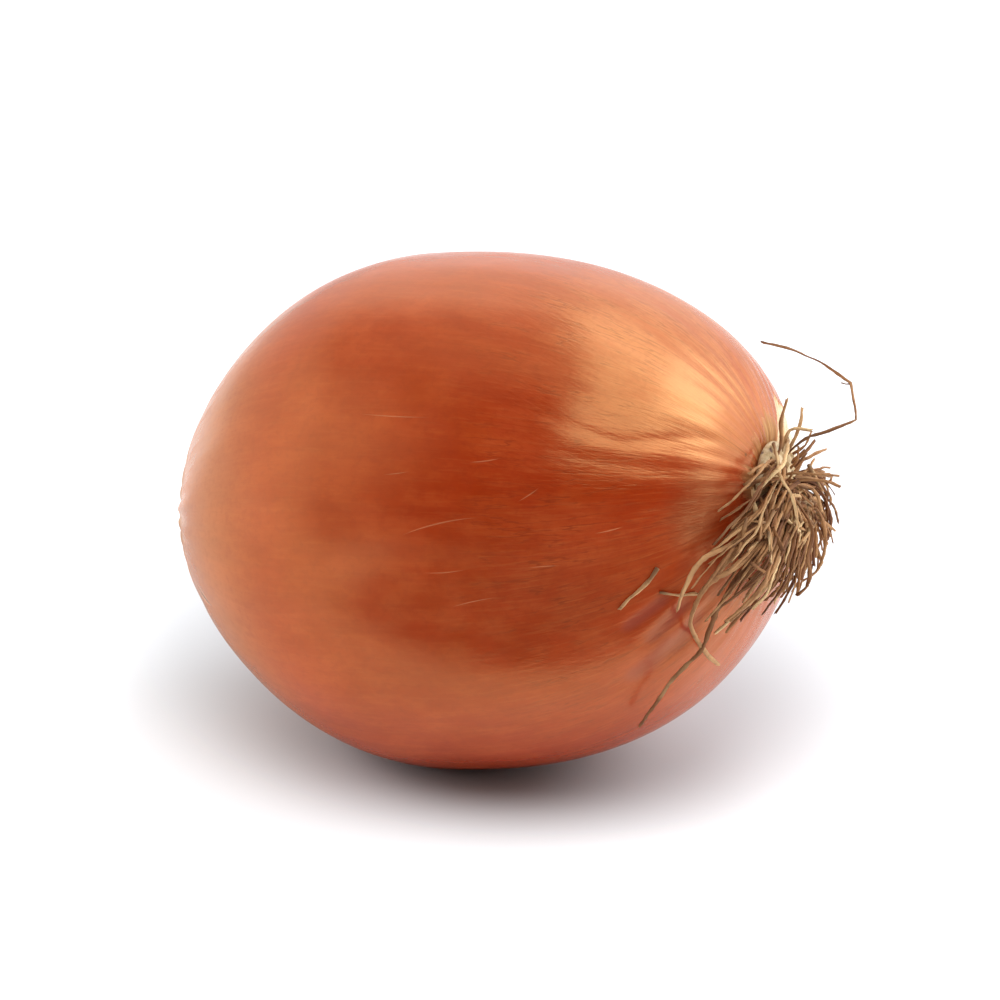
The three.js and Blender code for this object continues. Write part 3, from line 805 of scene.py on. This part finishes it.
def colour(shade):
    """An sRGB colour, 0 to 255, as the linear one that nodes take. A socket stays as it is."""
    def linear(value):
        value /= 255
        return value / 12.92 if value <= 0.04045 else ((value + 0.055) / 1.055) ** 2.4
    if isinstance(shade, bpy.types.NodeSocket):
        return shade
    return tuple(linear(value) for value in shade) + (1.0,)


class Nodes:
    """Short ways to build a node material. Colours are given as sRGB, 0 to 255."""

    def __init__(self, owner):
        """For a new material, or for a world that is given instead of a name."""
        if isinstance(owner, str):
            owner = bpy.data.materials.new(owner)
            owner.use_nodes = True
        self.material, self.tree = owner, owner.node_tree
        self.shader = self.tree.nodes.get("Principled BSDF")

    def node(self, kind, inputs=(), **settings):
        made = self.tree.nodes.new(kind)
        for label, value in settings.items():
            setattr(made, label, value)
        for label, value in dict(inputs).items():
            self.put(made.inputs[label], value)
        return made

    def put(self, socket, value):
        if isinstance(value, bpy.types.NodeSocket):
            self.tree.links.new(value, socket)
        else:
            socket.default_value = value

    def place(self):
        return self.node("ShaderNodeNewGeometry").outputs["Position"]

    def attribute(self, name, output="Fac"):
        return self.node("ShaderNodeAttribute", attribute_name=name).outputs[output]

    def math(self, operation, a, b=0.0, clamp=False):
        made = self.node("ShaderNodeMath", operation=operation, use_clamp=clamp)
        self.put(made.inputs[0], a)
        self.put(made.inputs[1], b)
        return made.outputs[0]

    def times(self, a, b, *more):
        product = self.math("MULTIPLY", a, b)
        return self.times(product, *more) if more else product

    def plus(self, a, b):
        return self.math("ADD", a, b)

    def minus(self, a, b):
        return self.math("SUBTRACT", a, b)

    def vector(self, operation, a, b=(0, 0, 0), output="Vector"):
        made = self.node("ShaderNodeVectorMath", operation=operation)
        self.put(made.inputs[0], a)
        self.put(made.inputs[1], b)
        return made.outputs[output]

    def dot(self, vector, axis):
        return self.vector("DOT_PRODUCT", vector, tuple(axis), "Value")

    def apart(self, place, middle):
        """How far a place is from a point that is given as (along, degrees) on the skin."""
        return self.vector("DISTANCE", place, tuple(to_world(skin_point(*middle))), "Value")

    def noise(self, vector, scale, detail=2.0, roughness=0.5):
        made = self.node("ShaderNodeTexNoise", {"Vector": vector, "Scale": scale, "Detail": detail,
                                                "Roughness": roughness})
        return made.outputs["Fac"]

    def cells(self, place, scale):
        """The distance to the nearest of many scattered points."""
        made = self.node("ShaderNodeTexVoronoi", {"Vector": place, "Scale": scale})
        return made.outputs["Distance"]

    def step(self, value, low, high, to_low=0.0, to_high=1.0):
        made = self.node("ShaderNodeMapRange", {"Value": value, "From Min": low, "From Max": high,
                                                "To Min": to_low, "To Max": to_high},
                         interpolation_type="SMOOTHSTEP")
        return made.outputs["Result"]

    def mix(self, share, a, b):
        made = self.node("ShaderNodeMix", data_type="RGBA")
        self.put(made.inputs["Factor"], share)
        self.put(made.inputs[6], colour(a))
        self.put(made.inputs[7], colour(b))
        return made.outputs[2]

    def ramp(self, value, *stops):
        made = self.node("ShaderNodeValToRGB", {"Fac": value})
        elements = made.color_ramp.elements
        while len(elements) < len(stops):
            elements.new(0.5)
        for element, (place, shade) in zip(elements, stops):
            element.position = place
            element.color = colour(shade)
        return made.outputs["Color"]

    def bump(self, height, distance, strength):
        inputs = {"Height": height, "Distance": distance, "Strength": strength}
        return self.node("ShaderNodeBump", inputs).outputs["Normal"]

    def finish(self, **sockets):
        for label, value in sockets.items():
            self.put(self.shader.inputs[label.replace("_", " ")], value)
        return self.material


def mark(n, place, start, end, width, bend):
    """1 on a thin tapering line on the skin between two (along, degrees) points. The line goes on
    through the bulb, so it shows on the far side too."""
    a, b = (to_world(skin_point(*spot)) for spot in (start, end))
    middle = skin_point((start[0] + end[0]) / 2, (start[1] + end[1]) / 2)
    out = to_world(middle + off_skin(middle)[1]) - to_world(middle)
    span = b - a
    soft = width * MM * MARK_EDGE
    offset = n.vector("SUBTRACT", place, tuple(a))
    share = n.math("ADD", n.dot(offset, span / (span @ span)), 0.0, clamp=True)
    across = n.dot(offset, unit(np.cross(span, out)) / soft)
    arch = n.times(share, n.minus(1.0, share), 4 * bend * MM / soft)
    taper = n.times(n.math("SINE", n.times(share, math.pi)), 1 / MARK_EDGE)
    return n.math("SUBTRACT", taper, n.math("ABSOLUTE", n.minus(across, arch)), clamp=True)


def skin_material():
    n = Nodes("onion_skin")
    grain, weave = n.attribute("grain", "Vector"), n.attribute("weave", "Vector")
    age, tear, crease = (n.attribute(name) for name in ("age", "tear", "crease"))
    place = n.place()

    def streaks(cells, length, detail=2.0, roughness=0.5, shift=0.0, along=grain):
        """Noise drawn out along the bulb: `cells` per radian round it, `length` mm long."""
        vector = n.vector("MULTIPLY", along, (1, 1, 1 / (cells * length)))
        vector = n.vector("ADD", vector, (shift, shift, 0))
        return n.noise(vector, cells, detail, roughness)

    blotch = streaks(3.6, 11, 3.0, 0.55)
    cloud = n.noise(place, 75, 4.0, 0.6)
    patch = streaks(11, 7, 4.0, 0.62, 3.0)
    band = streaks(16, 34, 3.0, 0.6, 7.0)
    fine = streaks(64, 6, 3.0, 0.65)
    crossed = streaks(60, 5, 3.0, 0.65, 9.0, weave)
    veins = streaks(22, 12, 3.0, 0.55, 4.0)
    hair = streaks(110, 14, 2.0, 0.5, 2.0)
    flecks = streaks(75, 1.3, 2.0, 0.6, 5.0)
    mottle = n.noise(place, 900, 3.0, 0.65)
    station = n.node("ShaderNodeSeparateXYZ", {"Vector": grain}).outputs["Z"]
    rooted = n.step(station, 8.0, 34.0)

    tint = n.ramp(blotch, (0.36, (171, 51, 6)), (0.5, (178, 56, 15)),
                  (0.64, (187, 66, 27)))
    tint = n.mix(n.step(cloud, 0.4, 0.62, 0.0, 0.5), tint, (171, 51, 19))
    tint = n.mix(n.step(patch, 0.42, 0.64, 0.0, 0.3), tint, (198, 78, 28))
    tint = n.mix(n.step(band, 0.46, 0.62, 0.0, 0.16), tint, (150, 40, 12))
    pale_fibre = n.times(n.step(fine, 0.5, 0.68), n.step(rooted, 0.0, 1.0, 0.05, 0.13))
    tint = n.mix(pale_fibre, tint, (222, 118, 64))
    # a pale golden patch on top near the roots, where the key light's highlight falls: painted
    # highlight
    painted_highlight = n.step(n.apart(place, HIGHLIGHT_SPOT), *HIGHLIGHT_SPOT_REACH, 1.0, 0.0)
    painted_highlight = n.times(painted_highlight, n.step(patch, 0.35, 0.65, 0.2, 0.44))
    tint = n.mix(painted_highlight, tint, (224, 146, 92))
    # paler towards the neck: drier skin there, and partly a painted reflection that pales the rim at
    # that end
    tint = n.mix(n.step(station, -27.0, -9.0, 0.32, 0.0), tint, (186, 140, 76))
    # a darker spot on the skin below the roots: painted shadow of the roots
    painted_root_shadow = n.step(n.apart(place, ROOT_SHADOW_SPOT), *ROOT_SHADOW_REACH, 0.6, 0.0)
    tint = n.mix(painted_root_shadow, tint, (128, 44, 16))
    dark_fibre = n.times(n.step(hair, 0.54, 0.68), n.step(rooted, 0.0, 1.0, 0.05, 0.14))
    tint = n.mix(dark_fibre, tint, (140, 38, 14))
    tint = n.mix(n.step(flecks, 0.54, 0.7, 0.0, 0.11), tint, (138, 42, 18))
    tint = n.mix(n.step(mottle, 0.46, 0.66, 0.0, 0.18), tint, (146, 42, 16))
    line = n.step(n.math("ABSOLUTE", n.minus(veins, 0.5)), 0.004, 0.022, 1.0, 0.0)
    line = n.times(line, n.step(patch, 0.4, 0.58))
    vein = n.times(line, n.step(rooted, 0.0, 1.0, 0.02, 0.5))
    tint = n.mix(vein, tint, (132, 42, 18))

    speck = n.times(n.step(n.cells(place, 130.0), 0.02, 0.05, 1.0, 0.0),
                    n.step(n.noise(place, 21, 1.0), 0.56, 0.6))
    tint = n.mix(n.times(speck, 0.75), tint, (90, 34, 16))

    # dry, brown skin at both ends
    dry = n.ramp(streaks(16, 5, 3.0, 0.6, 8.0), (0.3, (112, 66, 34)),
                 (0.5, (168, 112, 66)), (0.7, (206, 164, 112)))
    tint = n.mix(n.step(age, 0.1, 0.9, 0.0, 0.9), tint, dry)

    # where the outermost skin is gone, the next one is cream
    torn = n.plus(tear, n.times(n.minus(streaks(70, 1.5, 2.0), 0.5), 1.1))
    bare = n.step(torn, 0.0, 0.12)
    lip = n.times(n.step(torn, -0.5, -0.1), n.minus(1.0, bare))
    cream = n.ramp(streaks(22, 9, 2.0, 0.5, 6.0), (0.3, (214, 174, 120)),
                   (0.7, (242, 220, 178)))
    tint = n.mix(n.times(lip, 0.7), tint, (190, 96, 40))
    tint = n.mix(n.times(bare, n.step(age, 0.95, 1.0, 1.0, 0.35)), tint, cream)

    # creases get a purplish tint and painted shade, scratches are pale, the slit is dark with a pale
    # lip
    tint = n.mix(n.step(crease, 0.25, 0.95, 0.0, 0.5), tint, (150, 66, 62))
    middle = to_world((0, 0, 0))
    side = unit(to_world((0, math.sin(MARKED_SIDE), math.cos(MARKED_SIDE))) - middle)
    seen = n.math("GREATER_THAN", n.dot(place, side), float(middle @ side))
    pale = 0.0
    for scratch in SCRATCHES:
        pale = n.math("MAXIMUM", pale, mark(n, place, *scratch))
    pale = n.times(pale, seen)
    tint = n.mix(n.times(pale, 0.28), tint, (236, 166, 122))
    start, end, width, bend = SLIT
    lip = n.times(mark(n, place, start, end, width * SLIT_LIP, bend), seen)
    tint = n.mix(n.times(lip, 0.6), tint, (236, 190, 160))
    cut = n.times(mark(n, place, *SLIT), seen)
    tint = n.mix(cut, tint, (96, 30, 18))

    relief = 0.0
    for height, weight in ((fine, n.step(rooted, 0.0, 1.0, 0.05, 0.45)),
                           (crossed, n.step(rooted, 0.0, 1.0, 0.05, 0.4)),
                           (line, n.step(rooted, 0.0, 1.0, 0.0, -0.1)),
                           (patch, 0.65), (cut, -2.0), (pale, 0.4)):
        relief = n.plus(relief, n.times(height, weight))
    normal = n.bump(relief, 0.12 * MM, 0.6)

    rough = n.plus(n.step(patch, 0.35, 0.65, 0.2, 0.27), n.step(age, 0.2, 1.0, 0.0, 0.4))
    return n.finish(Base_Color=tint, Roughness=rough, Normal=normal, IOR=2.0, Specular_IOR_Level=0.8,
                    Specular_Tint=(0.95, 0.6, 0.25, 1.0))


def root_material():
    n = Nodes("dry_root")
    tone, reach = n.attribute("tone"), n.attribute("reach")
    place = n.place()
    straw = n.ramp(tone, (0.0, (104, 62, 38)), (0.35, (160, 110, 68)),
                   (0.7, (200, 152, 104)), (1.0, (232, 198, 146)))
    fibre = n.noise(place, 900, 3.0, 0.7)
    straw = n.mix(n.step(fibre, 0.45, 0.7, 0.0, 0.5), straw, (116, 70, 44))
    straw = n.mix(n.step(n.noise(place, 160, 2.0), 0.5, 0.75, 0.0, 0.35), straw, (222, 182, 130))
    # darker towards each root's base, deep inside the tuft: painted shade
    straw = n.mix(n.step(reach, 0.0, 0.5, 0.7, 0.0), straw, (88, 54, 34))
    normal = n.bump(fibre, 0.1 * MM, 0.8)
    return n.finish(Base_Color=straw, Roughness=0.72, Normal=normal, Specular_IOR_Level=0.3)


def plate_material():
    n = Nodes("basal_plate")
    place = n.place()
    cork = n.ramp(n.noise(place, 420, 4.0, 0.65), (0.32, (150, 116, 78)),
                  (0.5, (214, 186, 142)), (0.68, (242, 226, 192)))
    scar = n.step(n.cells(place, 620.0), 0.16, 0.3, 1.0, 0.0)
    scar = n.times(scar, n.step(n.noise(place, 300, 1.0), 0.48, 0.55))
    cork = n.mix(n.times(scar, 0.75), cork, (98, 62, 74))
    normal = n.bump(n.noise(place, 700, 4.0, 0.7), 0.3 * MM, 0.9)
    return n.finish(Base_Color=cork, Roughness=0.85, Normal=normal, Specular_IOR_Level=0.25)


# ---------------------------------------------------------------- studio


def show(name, data):
    made = bpy.data.objects.new(name, data)
    bpy.context.scene.collection.objects.link(made)
    return made


def from_view(place):
    """(right, away, up) as the camera sees it, in the resting frame."""
    return RIGHT * place[0] - FRONT * place[1] + Vector((0, 0, place[2]))


def add_camera():
    data = bpy.data.cameras.new("camera")
    data.lens = LENS
    data.sensor_width = SENSOR
    data.shift_x, data.shift_y = SHIFT
    data.clip_start, data.clip_end = 0.05, 20
    made = show("camera", data)
    turned = Matrix((RIGHT, BACK.cross(RIGHT), BACK)).transposed().to_4x4()
    made.matrix_world = Matrix.Translation(Vector(MIDDLE * MM) + BACK * CAMERA_DISTANCE) @ turned
    bpy.context.scene.camera = made


def area_light(name, place, size, power, aimed=False):
    """A rectangular light at (right, away, up) in metres as the camera sees it, which hangs level
    or is aimed at the onion."""
    data = bpy.data.lights.new(name, "AREA")
    data.shape = "RECTANGLE"
    data.size, data.size_y = size
    data.energy = power
    made = show(name, data)
    made.location = spot = from_view(place)
    made.rotation_mode = "QUATERNION"
    made.rotation_quaternion = Matrix((RIGHT, -FRONT, (0, 0, 1))).transposed().to_quaternion()
    if aimed:
        made.rotation_quaternion = (spot - Vector(MIDDLE * MM)).to_track_quat("Z", "Y")
    made.visible_camera = False
    return made


def level_plane(name, size, height, material):
    """A square plane that reaches `size` metres to each side."""
    mesh = bpy.data.meshes.new(name)
    corners = [(x * size, y * size, height) for x, y in ((-1, -1), (1, -1), (1, 1), (-1, 1))]
    mesh.from_pydata(corners, [], [(0, 1, 2, 3)])
    mesh.materials.append(material)
    return show(name, mesh)


def add_floor():
    n = Nodes("floor")
    place = n.place()
    ahead = n.dot(place, FRONT)
    beside = n.minus(n.dot(place, RIGHT - FRONT * GLOW_LEAN), GLOW_SHIFT)
    flat = n.node("ShaderNodeCombineXYZ", {"X": beside, "Y": ahead}).outputs["Vector"]
    away = n.plus(n.vector("LENGTH", flat, output="Value"), n.times(ahead, GLOW_AHEAD))
    # the floor glows white except in a patch round the onion: a painted soft shadow, on a floor that
    # glows though it is no lamp
    glow_round_painted_shadow = n.step(away, *GLOW_REACH, 0.0, GLOW_STRENGTH)
    pale = n.finish(Base_Color=(0.56, 0.58, 0.61, 1), Roughness=0.9, Specular_IOR_Level=0.1,
                    Emission_Color=(1, 1, 1, 1), Emission_Strength=glow_round_painted_shadow)
    floor = level_plane("floor", FLOOR_SIZE, 0, pale)


def add_flag():
    n = Nodes("flag")
    place = n.place()
    ahead = n.dot(place, FRONT)
    beside = n.math("ABSOLUTE", n.minus(n.dot(place, RIGHT), FLAG_SHIFT))
    beside = n.minus(beside, n.times(ahead, FLAG_SPREAD))
    dense = n.times(n.step(ahead, *FLAG_START), n.step(beside, 0.0, FLAG_SIDE, 1.0, 0.0))
    near = n.dot(place, FRONT - RIGHT * NEAR_FLAG_LEAN)
    dense = n.math("MAXIMUM", dense, n.step(near, *NEAR_FLAG_START, 0.0, NEAR_FLAG))
    black = n.finish(Base_Color=(0.01, 0.01, 0.01, 1), Alpha=dense)
    flag = level_plane("flag", FLAG_SIZE, MM, black)
    flag.visible_camera = flag.visible_diffuse = flag.visible_shadow = False


def add_lights():
    for light in SOFTBOXES:
        area_light(*light)
    area_light("fill", *FILL, aimed=True).visible_glossy = False


def add_room():
    """White walls behind and on the left, bright panels and a ceiling."""
    world = bpy.data.worlds.new("studio")
    world.use_nodes = True
    n = Nodes(world)
    ray = n.node("ShaderNodeTexCoord").outputs["Generated"]

    def facing(place, edge):
        """1 for rays near (right, away, up), 0 past the edge, which is given as two cosines."""
        return n.step(n.dot(ray, from_view(place).normalized()), *edge)

    def blend(share, low, high):
        return n.plus(n.times(share, n.minus(high, low)), low)

    wall = blend(facing(ZENITH, WALL_HEIGHT), WALL_BRIGHTNESS, HIGH_WALL_BRIGHTNESS)
    above = blend(facing(*WALLS), ROOM_BRIGHTNESS, wall)
    above = blend(facing(*CEILING), above, CEILING_BRIGHTNESS)
    above = blend(facing(*BACK_PANEL), above, BACK_PANEL_BRIGHTNESS)
    above = blend(facing(*RIGHT_PANEL), above, RIGHT_PANEL_BRIGHTNESS)
    above = blend(n.node("ShaderNodeLightPath").outputs["Is Camera Ray"], above, 1.0)
    n.put(n.tree.nodes["Background"].inputs["Strength"], above)
    n.put(n.tree.nodes["Background"].inputs["Color"], (1, 1, 1, 1))
    bpy.context.scene.world = world
    bpy.context.scene.view_settings.view_transform = "Standard"


skin = skin_material()
dry_root = root_material()
onion_skin(skin)
dried_neck(skin)
basal_plate(plate_material())
ruled_roots("roots", ROOT_KINDS, ROOT_SEED, ROOT_LOOK, STRAND_THICKNESS, ROOT_TONES, dry_root)
ruled_roots("fine_roots", FINE_KINDS, FINE_SEED, FINE_LOOK, FINE_THICKNESS, FINE_TONES, dry_root)
root_litter(dry_root)
long_roots(dry_root)
root_fragments(dry_root)
add_floor()
add_flag()
add_lights()
add_room()
add_camera()
